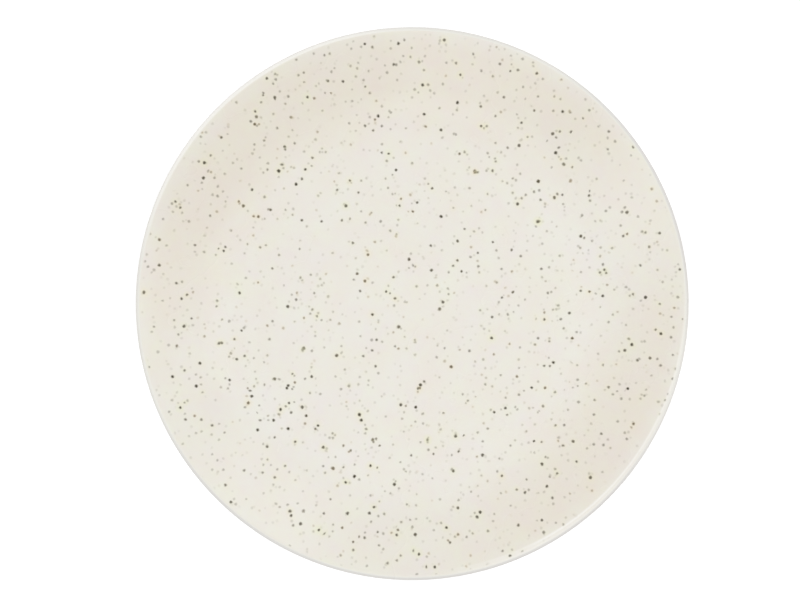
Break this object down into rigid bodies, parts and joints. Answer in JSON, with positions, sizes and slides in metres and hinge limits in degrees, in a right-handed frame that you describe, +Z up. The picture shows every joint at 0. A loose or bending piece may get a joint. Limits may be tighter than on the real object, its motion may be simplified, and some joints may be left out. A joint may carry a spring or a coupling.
{
  "type": "bread plate",
  "caption": "Round coupe bread plate in cream speckled glaze over stoneware: flat well, sloping side, rounded lip and bare foot ring.",
  "frame": {"origin": "centre of the foot ring's contact plane, on the plate's axis of revolution", "axes": "+Z up out of the well; +X and +Y are any two square directions in the table plane, because the form is turned"},
  "size_m": [0.165, 0.165, 0.019],
  "materials": {
    "bare_stoneware": "fired clay, matte, fine grain",
    "speckled_cream_glaze": "satin gloss with iron specks",
    "cream_back_glaze": "satin gloss, plain",
    "cream_base_glaze": "satin gloss, plain"
  },
  "bodies": {
    "root": {"stoneware_body": "bare_stoneware", "face_glaze": "speckled_cream_glaze", "back_glaze": "cream_back_glaze", "base_glaze": "cream_base_glaze"}
  },
  "joints": []
}
